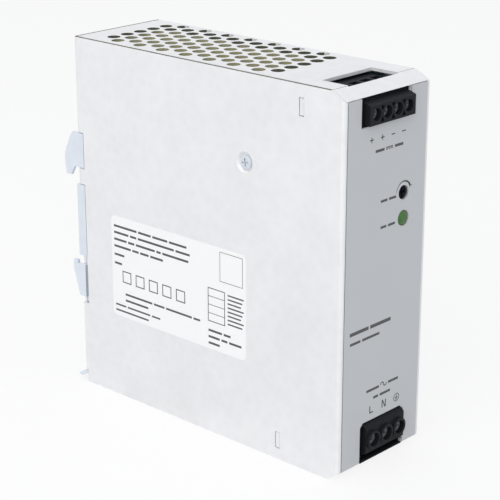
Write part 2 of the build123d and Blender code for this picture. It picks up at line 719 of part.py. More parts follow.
def clamp_screw(terminal, x, label):
    at = ClampStations(terminal)
    with BuildPart() as screw:
        with BuildSketch(face(head_front)):
            with Locations((x, up(terminal.height))):
                Circle(terminal.head)
        extrude(amount=-head_thickness + fit)
        with BuildSketch(face(head_front)):
            with Locations((x, up(terminal.height))):
                RegularPolygon(terminal.screw, shank_sides)
        extrude(amount=-(at.tip - head_front))
        with BuildSketch(face(head_front)):
            with Locations((x, up(terminal.height))):
                Rectangle(2 * terminal.head + 1, 0.35 * terminal.head)
        extrude(amount=-head_thickness / 2, mode=Mode.SUBTRACT)
    save(screw.part, label)


def clamp_cage(terminal, x, label):
    """A rising cage: a tube around the bar, with a threaded front wall."""
    at = ClampStations(terminal)
    with BuildPart() as cage:
        cut_box(x - terminal.cage_x / 2, x + terminal.cage_x / 2, at.cage_front, at.cage_back,
                terminal.height - terminal.cage_z / 2, terminal.height + terminal.cage_z / 2,
                mode=Mode.ADD)
        cut_box(x - terminal.cage_x / 2 + cage_side, x + terminal.cage_x / 2 - cage_side,
                at.cage_front + nut_wall, at.wire_back, terminal.height - terminal.cage_z,
                terminal.height + terminal.cage_z)
        with BuildSketch(face(at.cage_front)) as thread:
            with Locations((x, up(terminal.height))):
                RegularPolygon(terminal.screw + fit, bore_sides, major_radius=False)
        extrude(thread.sketch, amount=-nut_wall, mode=Mode.SUBTRACT)
    save(cage.part, label)


def contact_bars(terminal, label):
    """Current bars: through the cages, out of the block and through the riser board."""
    at = ClampStations(terminal)
    with BuildPart() as bars:
        for x in terminal.poles:
            cut_box(x - at.bar, x + at.bar, at.bar_front, at.bar_back,
                    min(at.bar_end, at.bar_foot), max(at.bar_end, at.bar_foot), mode=Mode.ADD)
            cut_box(x - tail_half, x + tail_half, at.bar_front, block_back + board + tail_rise,
                    min(at.bar_foot, at.tail), max(at.bar_foot, at.tail), mode=Mode.ADD)
    save(bars.part, label)


def riser_board(terminal, left, low, high, label):
    """Small board behind a block, upright against the main board."""
    at = ClampStations(terminal)
    with BuildPart() as riser:
        cut_box(left, board_left, block_back, block_back + board, low, high, mode=Mode.ADD)
        for x in terminal.poles:
            cut_box(x - tail_half, x + tail_half, block_back, block_back + board,
                    min(at.bar_foot, at.tail), max(at.bar_foot, at.tail))
    save(riser.part, label)


for terminal in (output, mains):
    for number, x in enumerate(terminal.poles, 1):
        clamp_screw(terminal, x, f"{terminal.name}_screw_{number}")
        clamp_cage(terminal, x, f"{terminal.name}_cage_{number}")
    contact_bars(terminal, f"{terminal.name}_contacts")
output_riser_top = case_height - sheet - riser_gap
riser_board(output, output_riser_left, output_riser_top - output_riser_height,
            output_riser_top, "output_board")
riser_board(mains, input_riser_left, sheet + riser_gap,
            sheet + riser_gap + input_riser_height, "input_board")


# ---------------------------------------------------------------- front controls
with BuildPart() as trimmer_body:
    with BuildSketch(face(indicator_board_front)):
        with Locations((trimmer_x, up(trimmer_height))):
            Rectangle(trimmer_width, trimmer_width)
    extrude(amount=trimmer_body_depth)
    chamfer(trimmer_body.faces().sort_by(Axis.Y)[0].edges(), length=trimmer_chamfer)
    with BuildSketch(face(indicator_board_front - trimmer_body_depth)):
        with Locations((trimmer_x, up(trimmer_height))):
            Circle(spindle_radius + fit)
    extrude(amount=-spindle_depth - fit, mode=Mode.SUBTRACT)
save(trimmer_body.part, "trimmer_body")

with BuildPart() as trimmer_rotor:
    rotor_back = indicator_board_front - trimmer_body_depth - fit
    with BuildSketch(face(rotor_front)):
        with Locations((trimmer_x, up(trimmer_height))):
            Circle(trimmer_rotor_radius)
    extrude(amount=-(rotor_back - rotor_front))
    with BuildSketch(face(rotor_back)):
        with Locations((trimmer_x, up(trimmer_height))):
            Circle(spindle_radius)
    extrude(amount=-spindle_depth)
    with BuildSketch(face(rotor_front)):
        with Locations((trimmer_x, up(trimmer_height))):
            Rectangle(1.6 * trimmer_rotor_radius, rotor_slot)
            Rectangle(rotor_slot, 1.6 * trimmer_rotor_radius)
    extrude(amount=-rotor_slot_depth, mode=Mode.SUBTRACT)
save(trimmer_rotor.part, "trimmer_rotor")

with BuildPart() as status_led:
    with BuildSketch(face(-led_rise)):
        with Locations((led_x, up(led_height))):
            Circle(led_radius)
    extrude(amount=-(indicator_board_front + led_rise))
    chamfer(status_led.faces().sort_by(Axis.Y)[0].edges(), length=led_rise, length2=led_radius / 2)
    with BuildSketch(face(indicator_board_front)):
        with Locations((led_x, up(led_height))):
            Circle(led_radius + led_rim)
    extrude(amount=led_foot)
save(status_led.part, "status_led")

with BuildPart() as indicator_board:
    cut_box(indicator_left, board_left, indicator_board_front, indicator_board_front + board,
            led_height - indicator_margin, trimmer_height + indicator_margin, mode=Mode.ADD)
save(indicator_board.part, "indicator_board")


# ---------------------------------------------------------------- fixings of the main board
with BuildPart() as board_standoffs:
    with BuildSketch(wall(board_right)):
        with Locations(*side_points(standoff_places)):
            RegularPolygon(standoff_radius, 6)
            RegularPolygon(screw_radius + fit, shank_sides, mode=Mode.SUBTRACT)
    extrude(amount=board_gap)
save(board_standoffs.part, "board_standoffs")

with BuildPart() as board_screws:
    with BuildSketch(wall(board_left)):
        with Locations(*side_points(standoff_places)):
            RegularPolygon(board_screw_radius, 6)
    extrude(amount=-board_screw_head)
    with BuildSketch(wall(board_left)):
        with Locations(*side_points(standoff_places)):
            RegularPolygon(screw_radius, shank_sides)
    extrude(amount=board + board_gap - seam)
save(board_screws.part, "board_screws")

with BuildPart() as insulation_sheet:
    with BuildSketch(wall(half - sheet - insulation)):
        front, top = board_margin + insulation_margin, board_top - insulation_margin
        Polygon(*side_points([(front, board_margin), (front, top), (board_back, top),
                              (board_back, board_margin)]), align=None)
        with Locations(*side_points(standoff_places)):
            RegularPolygon(standoff_radius + standoff_clearance, 6, mode=Mode.SUBTRACT)
    extrude(amount=insulation)
save(insulation_sheet.part, "insulation_sheet")


# ---------------------------------------------------------------- leads in the main board
leads = []                # (depth, height) and size of every lead through the main board


def lead(x, depth, height, size):
    """A square lead of the open part, down through the main board."""
    cut_box(x, board_left + board, depth - size / 2, depth + size / 2,
            height - size / 2, height + size / 2, mode=Mode.ADD)
    leads.append(((depth, height), size))


# ---------------------------------------------------------------- transformer
with BuildPart() as transformer_core:
    # two E halves: the outer legs stand before and behind the winding
    with BuildSketch(level(transformer_height - core_stack / 2)):
        with Locations((transformer_x, back(transformer_depth))):
            Rectangle(core_across, core_length)
        for side in (-1, 1):
            middle = transformer_depth + side * (core_leg / 4 + core_length / 4 - core_back / 2)
            with Locations((transformer_x, back(middle))):
                Rectangle(core_across - 2 * core_back,
                          core_length / 2 - core_back - core_leg / 2, mode=Mode.SUBTRACT)
    extrude(amount=core_stack)
save(transformer_core.part, "transformer_core")

window = core_across - 2 * core_back
winding_long = core_length - 2 * core_back - winding_gap
with BuildPart() as transformer_bobbin:
    for x in (transformer_x - window / 2, transformer_x + window / 2 - bobbin_flange):
        with BuildSketch(wall(x)) as flange:
            with Locations(*side_points([(transformer_depth, transformer_height)])):
                Rectangle(winding_long, winding_high + 2 * bobbin_rim)
        extrude(flange.sketch, amount=bobbin_flange)
    with BuildSketch(wall(transformer_x - window / 2)) as tube:
        with Locations(*side_points([(transformer_depth, transformer_height)])):
            Rectangle(core_leg + 2 * bobbin_flange, core_stack + 2 * bobbin_flange)
    extrude(tube.sketch, amount=window)
    with BuildSketch(wall(transformer_x - window / 2)) as bore:
        with Locations(*side_points([(transformer_depth, transformer_height)])):
            Rectangle(core_leg, core_stack)
    extrude(bore.sketch, amount=window, mode=Mode.SUBTRACT)
    # pin rails below and above the core, down to the board
    for side in (-1, 1):
        edge = transformer_height + side * (winding_high / 2 + bobbin_rim)
        cut_box(transformer_x + window / 2 - bobbin_flange, board_left,
                transformer_depth - winding_long / 2, transformer_depth + winding_long / 2,
                min(edge, edge - side * pin_rail), max(edge, edge - side * pin_rail),
                mode=Mode.ADD)
save(transformer_bobbin.part, "transformer_bobbin")

with BuildPart() as transformer_winding:
    with BuildSketch(wall(transformer_x - window / 2 + bobbin_flange)):
        with Locations(*side_points([(transformer_depth, transformer_height)])):
            RectangleRounded(winding_long - winding_gap, winding_high, winding_corner)
            Rectangle(core_leg + 2 * bobbin_flange, core_stack + 2 * bobbin_flange,
                      mode=Mode.SUBTRACT)
    extrude(amount=window - 2 * bobbin_flange)
save(transformer_winding.part, "transformer_winding")


# ---------------------------------------------------------------- capacitors
def can_capacitor(radius, gap, places, label):
    """Cans standing on the main board, each with a rolled groove near its foot."""
    top = inside_left + gap
    groove = board_left - can_groove_foot
    with BuildPart() as cans:
        for place in places:
            (y, z), = side_points([place])
            with BuildSketch(Plane((0, y, z), x_dir=(1, 0, 0), z_dir=(0, 0, 1))) as section:
                with BuildLine():
                    Polyline((board_left, 0), (board_left, radius), (groove, radius),
                             (groove, radius - can_groove),
                             (groove - 2 * can_groove, radius - can_groove),
                             (groove - 2 * can_groove, radius), (top, radius), (top, 0),
                             close=True)
                make_face()
            revolve(section.sketch, axis=Axis((0, y, z), (1, 0, 0)))
    save(cans.part, label)


can_top = case_height - can_drop
can_capacitor(bulk_radius, bulk_gap, [(bulk_depth, bulk_share * case_height)], "bulk_capacitor")
can_capacitor(can_radius, can_gap, [(can_depth, can_top), (can_depth + can_depth_step, can_top),
                                    (can_depth, can_top - can_drop_step)], "output_capacitors")

with BuildPart() as film_capacitor:
    cut_box(board_left - film_width, board_left, film_depth, film_depth + film_length,
            film_foot, film_foot + film_rise, mode=Mode.ADD)
    chamfer(film_capacitor.faces().sort_by(Axis.X)[0].edges(), length=film_round)
save(film_capacitor.part, "film_capacitor")


# ---------------------------------------------------------------- chokes
class RingChoke:
    """A wound ring lying flat on the main board; its place, its ring and its wire."""

    def __init__(self, depth, height, outer, inner, thick, wire):
        self.y, self.z = back(depth), up(height)
        self.outer, self.inner, self.thick, self.wire = outer, inner, thick, wire
        self.x = board_left - thick - wire

    def ring(self, margin):
        """The ring, or its outer shape when wound with wire of that margin."""
        with BuildSketch(wall(self.x - margin)) as section:
            with Locations((self.y, self.z)):
                Circle(self.outer + margin)
                Circle(self.inner - margin, mode=Mode.SUBTRACT)
        return section.sketch, self.thick + 2 * margin

    def core(self, label):
        with BuildPart() as core:
            section, thick = self.ring(0)
            extrude(section, amount=thick)
        save(core.part, label)

    def winding(self, gaps, label):
        """Wire as a cover over each wound span, with gaps between the spans."""
        reach = 2 * self.outer
        with BuildPart() as turns:
            cover, thick = self.ring(self.wire)
            extrude(cover, amount=thick)
            bare, bare_thick = self.ring(0)
            extrude(bare, amount=bare_thick, mode=Mode.SUBTRACT)
            for start, end in gaps:
                with BuildSketch(wall(self.x - self.wire)) as gap:
                    with Locations((self.y, self.z)):
                        Polygon((0, 0), (reach * cos(start), reach * sin(start)),
                                (reach * cos(end), reach * sin(end)), align=None)
                extrude(gap.sketch, amount=thick, mode=Mode.SUBTRACT)
        save(turns.part, label)


line_choke = RingChoke(choke_depth, choke_share * case_height, choke_outer, choke_inner,
                       choke_thick, choke_wire)
line_choke.core("choke_core")
line_choke.winding([(0.39 * pi, 0.61 * pi), (-0.61 * pi, -0.39 * pi)], "choke_winding")
output_inductor = RingChoke(inductor_depth, inductor_share * case_height, inductor_outer,
                            inductor_inner, inductor_thick, inductor_wire)
output_inductor.core("output_inductor_core")
output_inductor.winding([(-0.16 * pi, 0.16 * pi)], "output_inductor_winding")


# ---------------------------------------------------------------- small board parts
fuse_height = fuse_share * case_height
thermistor_height = thermistor_share * case_height

with BuildPart() as fuse:
    with BuildSketch(face(fuse_front)):
        with Locations((board_left - fuse_rise, up(fuse_height))):
            Circle(fuse_radius)
    extrude(amount=-fuse_length)
    for depth in (fuse_front, fuse_front + fuse_length - fuse_cap):
        with BuildSketch(face(depth)) as cap:
            with Locations((board_left - fuse_rise, up(fuse_height))):
                Circle(fuse_radius + fuse_cap_wall)
        extrude(cap.sketch, amount=-fuse_cap)
        lead(board_left - fuse_rise, depth + fuse_cap / 2, fuse_height, lead_size)
save(fuse.part, "fuse")

with BuildPart() as inrush_thermistor:
    with BuildSketch(face(thermistor_depth)):
        with Locations((board_left - thermistor_rise, up(thermistor_height))):
            Circle(thermistor_radius)
    extrude(amount=-thermistor_thick)
    for side in (-1, 1):
        lead(board_left - thermistor_rise + thermistor_radius / 2,
             thermistor_depth + thermistor_thick / 2,
             thermistor_height + side * thermistor_leads / 2, lead_size)
save(inrush_thermistor.part, "inrush_thermistor")


def leaded_package(label, front, thick, rise, length, low, high, count):
    """A flat moulded package on its leads, upright on the main board."""
    x_high = board_left - rise
    with BuildPart() as package:
        cut_box(x_high - length, x_high, front, front + thick, low, high, mode=Mode.ADD)
        chamfer(package.faces().sort_by(Axis.X)[0].edges(), length=package_chamfer)
        for i in range(count):
            lead(x_high, front + thick / 2, low + (high - low) * (i + 1) / (count + 1), lead_size)
    save(package.part, label)


leaded_package("bridge_rectifier", case_depth - bridge_tail, bridge_thick, bridge_rise,
               bridge_length, bridge_foot, bridge_foot + bridge_height, 4)
for label, front, foot in (
        ("primary_transistor", primary_sink_depth + heat_sink,
         primary_sink_foot + primary_package_foot),
        ("output_rectifier", secondary_sink_depth - package_thick,
         secondary_sink_foot + secondary_package_foot)):
    leaded_package(label, front, package_thick, package_rise, package_length, foot,
                   foot + package_width, 3)

with BuildPart() as primary_heat_sink:
    # an upright plate with a lip along its free edge
    sink_end = inside_left + sink_panel_gap
    with BuildSketch(level(primary_sink_foot)):
        Polygon(*[(x, back(primary_sink_depth + d)) for x, d in [
            (board_left, 0), (board_left, heat_sink), (sink_end, heat_sink),
            (sink_end, sink_lip), (sink_end - heat_sink, sink_lip),
            (sink_end - heat_sink, 0)]], align=None)
    extrude(amount=primary_sink_height)
    fillet(primary_heat_sink.edges().filter_by(Axis.Z).group_by(Axis.X)[0].sort_by(Axis.Y)[-1],
           radius=sink_round)
save(primary_heat_sink.part, "primary_heat_sink")

with BuildPart() as secondary_heat_sink:
    # a web on the board and a pad pressed against the dimple of the left panel
    pad_left = inside_left + dimple_depth
    pad_end = pad_left + heat_sink
    web_back = secondary_sink_depth + heat_sink
    with BuildSketch(level(secondary_sink_foot)):
        Polygon(*[(x, back(d)) for x, d in [
            (board_left, secondary_sink_depth), (board_left, web_back), (pad_left, web_back),
            (pad_left, web_back - secondary_sink_length),
            (pad_end, web_back - secondary_sink_length),
            (pad_end, secondary_sink_depth)]], align=None)
    extrude(amount=secondary_sink_height)
    # the web is low, to pass under the output capacitors
    cut_box(pad_end, board_left, secondary_sink_depth - 1, web_back + 1,
            secondary_sink_foot + secondary_web_height,
            secondary_sink_foot + secondary_sink_height)
    with BuildSketch(wall(pad_left)):
        with Locations(*side_points([(side_screw_depth, side_screw_height)])):
            Circle(screw_radius + fit)
    extrude(amount=heat_sink, mode=Mode.SUBTRACT)
save(secondary_heat_sink.part, "secondary_heat_sink")

with BuildPart() as main_board:
    with BuildSketch(wall(board_left)):
        Polygon(*side_points([(board_margin, board_margin), (board_margin, board_top),
                              (board_back, board_top), (board_back, board_margin)]), align=None)
        with Locations(*side_points(standoff_places)):
            Circle(screw_radius + fit, mode=Mode.SUBTRACT)
        for place, size in leads:
            with Locations(*side_points([place])):
                Rectangle(size + seam, size + seam, mode=Mode.SUBTRACT)
    extrude(amount=board)
save(main_board.part, "main_board")
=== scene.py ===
"""Looks of the DIN rail power supply: finishes, printed marks and fine pieces around its CAD model.

The frame's axes are the part's own: X across the case, -Y out of the front, +Z up, in metres.
"""

import json
import math

import bmesh
import bpy
from mathutils import Matrix, Vector


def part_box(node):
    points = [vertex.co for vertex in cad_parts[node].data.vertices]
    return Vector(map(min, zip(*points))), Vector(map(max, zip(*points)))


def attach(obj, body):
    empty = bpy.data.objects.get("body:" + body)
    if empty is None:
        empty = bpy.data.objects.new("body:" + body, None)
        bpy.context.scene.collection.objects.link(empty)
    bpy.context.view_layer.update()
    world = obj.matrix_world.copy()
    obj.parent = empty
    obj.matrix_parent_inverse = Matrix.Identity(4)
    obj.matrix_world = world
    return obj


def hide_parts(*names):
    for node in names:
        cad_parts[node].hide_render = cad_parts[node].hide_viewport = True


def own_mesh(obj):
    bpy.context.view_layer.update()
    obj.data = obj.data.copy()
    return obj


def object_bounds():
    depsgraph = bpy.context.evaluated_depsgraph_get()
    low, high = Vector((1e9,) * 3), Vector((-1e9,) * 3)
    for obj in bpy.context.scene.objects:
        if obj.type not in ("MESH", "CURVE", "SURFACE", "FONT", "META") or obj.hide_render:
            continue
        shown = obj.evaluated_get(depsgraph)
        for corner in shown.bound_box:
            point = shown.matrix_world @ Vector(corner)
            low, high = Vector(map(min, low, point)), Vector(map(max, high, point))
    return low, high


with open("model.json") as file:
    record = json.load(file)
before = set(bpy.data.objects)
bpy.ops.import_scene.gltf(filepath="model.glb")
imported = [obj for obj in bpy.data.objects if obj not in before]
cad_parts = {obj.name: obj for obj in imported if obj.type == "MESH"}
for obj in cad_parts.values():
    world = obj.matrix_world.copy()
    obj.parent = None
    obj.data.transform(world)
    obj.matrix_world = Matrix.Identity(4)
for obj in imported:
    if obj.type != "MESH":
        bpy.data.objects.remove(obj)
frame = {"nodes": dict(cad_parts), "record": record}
cad_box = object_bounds()

MM = 0.001
nodes = frame["nodes"]


# ---------------------------------------------------------------- places taken from the frame
def centre(node):
    low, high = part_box(node)
    return (low + high) / 2


cover_low, cover_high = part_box("side_cover")
chassis_low, chassis_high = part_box("chassis")
film_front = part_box("front_overlay")[0].y
label_low, label_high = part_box("rating_label")
ground = chassis_low.z
# the yellow lining's reach under the vents
lining_front, lining_back = chassis_low.y + 36 * MM, chassis_high.y - 14 * MM
lining_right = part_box("main_board")[0].x - 5.4 * MM


# ---------------------------------------------------------------- shader maths
class Socket:
    """An output of a material's node. Sums of sockets and numbers add their Math nodes."""

    def __init__(self, finish, output):
        self.finish = finish
        self.output = output

    def math(self, operation, *others):
        values = dict(enumerate((self,) + others))
        return self.finish.node("Math", {"operation": operation}, values)

    def __add__(self, other):
        return self.math("ADD", other)

    __radd__ = __add__

    def __rsub__(self, other):
        return self.math("MULTIPLY", -1.0) + other

    def __mul__(self, other):
        return self.math("MULTIPLY", other)

    def above(self, level, softness=0.0):
        """1 where the value is over the level, 0 under it, with a soft edge."""
        if softness == 0:
            return self.math("GREATER_THAN", level)
        return self.finish.node("MapRange", {"interpolation_type": "SMOOTHSTEP"},
                                {0: self, 1: level - softness, 2: level + softness})


class Finish:
    """One material: its nodes, and the Principled shader that they feed."""

    def __init__(self, name, **constants):
        self.data = bpy.data.materials.new(name)
        self.data.use_nodes = True
        self.tree = self.data.node_tree
        self.tree.nodes.clear()
        self.shader = self.tree.nodes.new("ShaderNodeBsdfPrincipled")
        self.surface = self.tree.nodes.new("ShaderNodeOutputMaterial")
        self.tree.links.new(self.shader.outputs[0], self.surface.inputs[0])
        self.sets(**constants)

    def node(self, kind, settings=None, values=None, output=0):
        """Adds a node: settings first, then the values or links of its sockets."""
        node = self.tree.nodes.new("ShaderNode" + kind)
        for key, value in (settings or {}).items():
            setattr(node, key, value)
        for key, value in (values or {}).items():
            self.feed(node.inputs[key], value)
        return Socket(self, node.outputs[output])

    def feed(self, socket, value):
        if isinstance(value, Socket):
            self.tree.links.new(value.output, socket)
        else:
            socket.default_value = value

    def sets(self, **values):
        """Feeds the shader's own sockets."""
        for key, value in values.items():
            self.feed(self.shader.inputs[key.replace("_", " ")], value)

    def place(self, stretch=(1, 1, 1)):
        """Object coordinates in millimetres."""
        here = self.node("TexCoord", output="Object")
        scale = tuple(s / MM for s in stretch)
        return self.node("Mapping", None, {"Vector": here, "Scale": scale})

    def noise(self, size, detail=2.0, roughness=0.5, stretch=(1, 1, 1)):
        """Noise from 0 to 1 with features of this size in millimetres."""
        return self.node("TexNoise", None, {"Vector": self.place(stretch), "Scale": 1 / size,
                                            "Detail": detail, "Roughness": roughness})

    def cells(self, size):
        """Distance from the middles of cells of this size in millimetres."""
        return self.node("TexVoronoi", {"feature": "F1"},
                         {"Vector": self.place(), "Scale": 1 / size}, "Distance")

    def blend(self, low, high, factor):
        """A colour between two, by a factor from 0 to 1."""
        low_socket, high_socket, colour_output = 6, 7, 2
        return self.node("Mix", {"data_type": "RGBA", "clamp_factor": True},
                         {"Factor": factor, low_socket: self.colour(low),
                          high_socket: self.colour(high)}, colour_output)

    def colour(self, value):
        return value if isinstance(value, Socket) else (*value, 1.0)

    def bump(self, height, depth):
        """A normal from a height of 0 to 1 that stands for this depth in millimetres."""
        values = {"Height": height, "Distance": depth * MM, "Strength": 1.0}
        return self.node("Bump", None, values)

    def turned(self, axis):
        """The surface normal's part along one axis of the object."""
        return self.node("SeparateXYZ", None, {0: self.node("TexCoord", output="Normal")}, axis)


def shade(colour, share, lift=0.0):
    """A colour with each channel times a share, plus a lift."""
    return tuple(c * share + lift for c in colour)


# ---------------------------------------------------------------- finishes
def galvanised(name, colour, edge_colour):
    """Zinc-coated sheet: crystal spangle, a brushed grain, cloudy patches; cut edges painted dark
    as shade.
    """
    f = Finish(name, IOR=1.5)
    spots = f.cells(3.2)
    clouds = f.noise(22.0, 3.0)
    grain = f.noise(0.35, 2.0, stretch=(1, 1, 0.06))
    coated = f.blend(shade(colour, 0.87), colour, spots * 0.35 + clouds * 0.9 + grain * 0.25)

    here = f.node("TexCoord", output="Object")
    across, along, height = (f.node("SeparateXYZ", None, {0: here}, axis) for axis in "XYZ")
    lean = f.turned("Z")
    upright = 1 - lean.math("ABSOLUTE").above(0.5)
    off_the_sides = 1 - across.math("ABSOLUTE").above(17.2 * MM)
    # walls of the vents, within the top plate, painted dark as the shade inside the holes
    vent_wall_shade = (upright * height.above(chassis_high.z - 1.2 * MM) * off_the_sides
             * along.above(chassis_low.y + 18 * MM) * (1 - along.above(chassis_high.y - 3 * MM)))
    # the cover's cut edge along the top, painted dark as the shadow in its seam with the chassis
    fine = 0.03 * MM
    seam_shadow = (height.above(cover_high.z - fine) * (1 - height.above(cover_high.z + fine))
                * lean.above(0.5))
    # walls of the front plate's openings, behind the film, painted dark as the shade in the
    # openings
    front_wall_shade = ((1 - along.above(cover_low.y + 1.2 * MM))
                   * along.above(cover_low.y + 0.05 * MM) * off_the_sides
                   * (1 - height.math("ABSOLUTE").above(57 * MM)))
    painted_cut_shade = vent_wall_shade.math("MAXIMUM", seam_shadow).math("MAXIMUM", front_wall_shade)

    # painted shade on the cut walls, with drawn scratches, and a painted yellow reflection of the
    # lining over it
    scratches = f.noise(0.3, 2.0, stretch=(1, 1, 0.1))
    lining_reflection = (along.above(lining_front, 2 * MM) * (1 - along.above(lining_back, 2 * MM))
             * (1 - across.above(lining_right, 1 * MM)))
    cut_shade_and_reflection = f.blend(shade(edge_colour, 0.25), edge_colour,
                   lining_reflection * upright * 0.85 + scratches * 0.15)
    f.sets(Base_Color=f.blend(coated, cut_shade_and_reflection, painted_cut_shade),
           Metallic=0.22 - painted_cut_shade * 0.10,
           Roughness=0.46 + grain * 0.14 + clouds * 0.08 + painted_cut_shade * 0.1,
           Normal=f.bump(grain * 0.6 + spots * 0.4, 0.004))
    return f.data


def plated(name, colour, roughness=0.3):
    """Zinc-plated pressings and screws: bluish, with fine drawn lines and worn spots."""
    f = Finish(name, Metallic=0.45)
    lines = f.noise(0.25, 2.0, stretch=(1, 0.08, 1))
    clouds = f.noise(6.0, 3.0)
    f.sets(Base_Color=f.blend(shade(colour, 0.8), colour, clouds * 0.8 + lines * 0.4),
           Roughness=roughness + lines * 0.12 + clouds * 0.1,
           Normal=f.bump(lines, 0.003))
    return f.data


def moulded(name, colour, roughness=0.45, gloss=0.5):
    """Moulded plastic: an eroded texture, with faint flow streaks."""
    f = Finish(name, Specular_IOR_Level=gloss)
    grain = f.noise(0.18, 3.0, 0.6)
    flow = f.noise(4.0, 2.0, stretch=(1, 1, 0.3))
    light = shade(colour, 1.35, 0.004)
    f.sets(Base_Color=f.blend(colour, light, flow * 0.7 + grain * 0.3),
           Roughness=roughness + grain * 0.15,
           Normal=f.bump(grain, 0.006))
    return f.data


def printed_film(name, colour):
    """Polycarbonate film printed on its back, with a fine velvet face and dark cut edges."""
    f = Finish(name, Coat_Roughness=0.45, Coat_IOR=1.45)
    grain = f.noise(0.12, 2.0)
    clouds = f.noise(30.0, 2.0)
    face = f.blend(shade(colour, 0.95), colour, clouds * 0.7 + grain * 0.3)
    edge_colour = (0.09, 0.10, 0.13)
    edge = 1 - f.turned("Y").math("ABSOLUTE").above(0.5)
    f.sets(Base_Color=f.blend(face, edge_colour, edge),
           Roughness=0.42 + grain * 0.12,
           Coat_Weight=0.15 + clouds * 0.1,
           Normal=f.bump(grain, 0.003))
    return f.data


def paper(name, colour):
    """Label stock and insulating film: satin, with a slight tooth."""
    f = Finish(name)
    grain = f.noise(0.2, 3.0)
    f.sets(Base_Color=f.blend(shade(colour, 0.97), colour, grain),
           Roughness=0.5 + grain * 0.1,
           Normal=f.bump(grain, 0.002))
    return f.data


def ink(name, colour):
    """Screen-printed ink, a little uneven."""
    f = Finish(name)
    spread = f.noise(0.3, 2.0)
    f.sets(Base_Color=f.blend(colour, shade(colour, 1.3, 0.01), spread),
           Roughness=0.5 + spread * 0.15)
    return f.data


def lens(name, colour):
    """Tinted lamp lens, frosted by its moulded core."""
    f = Finish(name, IOR=1.49, Specular_IOR_Level=0.5)
    core = f.noise(1.6, 2.0)
    f.sets(Base_Color=f.blend(colour, shade(colour, 1.5), core),
           Roughness=0.28 + core * 0.1)
    return f.data


def solder_mask(name, colour):
    """Coated board: tracks show as slightly raised, darker and lighter strips."""
    f = Finish(name, Coat_Roughness=0.25)
    tracks = f.node("TexBrick", {"offset": 0.5},
                    {"Vector": f.place(), "Scale": 0.22, "Mortar Size": 0.05,
                     "Color1": (1, 1, 1, 1), "Color2": (0.7, 0.7, 0.7, 1), "Mortar": (0, 0, 0, 1)})
    weave = f.noise(0.4, 2.0)
    f.sets(Base_Color=f.blend(shade(colour, 0.6), colour, tracks * 0.6 + weave * 0.4),
           Roughness=0.32 + weave * 0.1,
           Normal=f.bump(tracks, 0.02))
    return f.data


def wound_tape(name, colour):
    """Polyester tape over a winding: lapped turns with soft edges."""
    f = Finish(name, Coat_Roughness=0.2)
    laps = f.noise(2.0, 1.0, stretch=(1, 0.05, 0.05))
    wrinkles = f.noise(0.8, 3.0)
    f.sets(Base_Color=f.blend(shade(colour, 0.72), colour, laps * 0.7 + wrinkles * 0.5),
           Roughness=0.3 + wrinkles * 0.15,
           Coat_Weight=0.2 + wrinkles * 0.2,
           Normal=f.bump(laps * 0.6 + wrinkles * 0.4, 0.05))
    return f.data


def sintered(name, colour):
    """Ground ferrite: matt, speckled with fine pores."""
    f = Finish(name)
    pores = f.noise(0.25, 3.0)
    f.sets(Base_Color=f.blend(colour, shade(colour, 1.8), pores),
           Roughness=0.55 + pores * 0.2,
           Normal=f.bump(pores, 0.01))
    return f.data


def enamelled(name, colour):
    """Enamelled copper: the coat varies from turn to turn."""
    f = Finish(name, Coat_Roughness=0.12, Metallic=0.6)
    turns = f.noise(1.0, 1.0)
    f.sets(Base_Color=f.blend(shade(colour, 0.55), colour, turns),
           Roughness=0.25 + turns * 0.12,
           Coat_Weight=0.5 + turns * 0.2)
    return f.data


finish = {
    # its second colour is the painted shade of the cut walls, yellowed as a painted reflection of
    # the lining
    "case": galvanised("case_steel", (0.825, 0.825, 0.838), (0.30, 0.295, 0.20)),
    "bracket": plated("bracket_steel", (0.78, 0.83, 0.90), 0.35),
    "screw": plated("screw_steel", (0.72, 0.76, 0.82), 0.25),
    # zinc clamp screws darkened as painted shade of their deep wells
    "screw_dark": plated("clamp_screw_steel", (0.20, 0.21, 0.22), 0.35),
    "spring": plated("spring_steel", (0.35, 0.35, 0.37), 0.3),
    "copper": plated("tinned_copper", (0.78, 0.66, 0.48), 0.25),
    "black": moulded("black_plastic", (0.010, 0.011, 0.012), 0.5, gloss=0.3),
    "terminal": moulded("terminal_plastic", (0.007, 0.009, 0.011), 0.5, gloss=0.12),
    "blue": moulded("blue_plastic", (0.02, 0.09, 0.35)),
    "pot": moulded("dark_rotor", (0.002, 0.002, 0.006), 0.6, gloss=0.1),
    "film": printed_film("front_film", (0.54, 0.56, 0.58)),
    "label": paper("label_stock", (0.90, 0.90, 0.90)),
    "ink": ink("printing_ink", (0.025, 0.025, 0.028)),
    "pale_ink": ink("pale_printing_ink", (0.06, 0.06, 0.063)),
    "lining": paper("yellow_lining", (0.60, 0.55, 0.24)),
    "lens": lens("green_lens", (0.028, 0.10, 0.014)),
    "board": solder_mask("board_green", (0.05, 0.26, 0.20)),
    "sheet": paper("insulating_sheet", (0.10, 0.10, 0.09)),
    "ferrite": sintered("ferrite", (0.025, 0.025, 0.027)),
    "tape": wound_tape("yellow_tape", (0.62, 0.52, 0.10)),
    "wire": enamelled("enamelled_wire", (0.60, 0.24, 0.09)),
    "sleeve": moulded("shrink_sleeve", (0.02, 0.025, 0.05), 0.3),
    "anodised": plated("black_anodised", (0.02, 0.02, 0.022), 0.45),
    "box_yellow": moulded("yellow_case", (0.62, 0.44, 0.06), 0.4),
    "ceramic": sintered("fuse_ceramic", (0.55, 0.53, 0.48)),
    "disc": moulded("coated_disc", (0.03, 0.07, 0.04), 0.5),
}

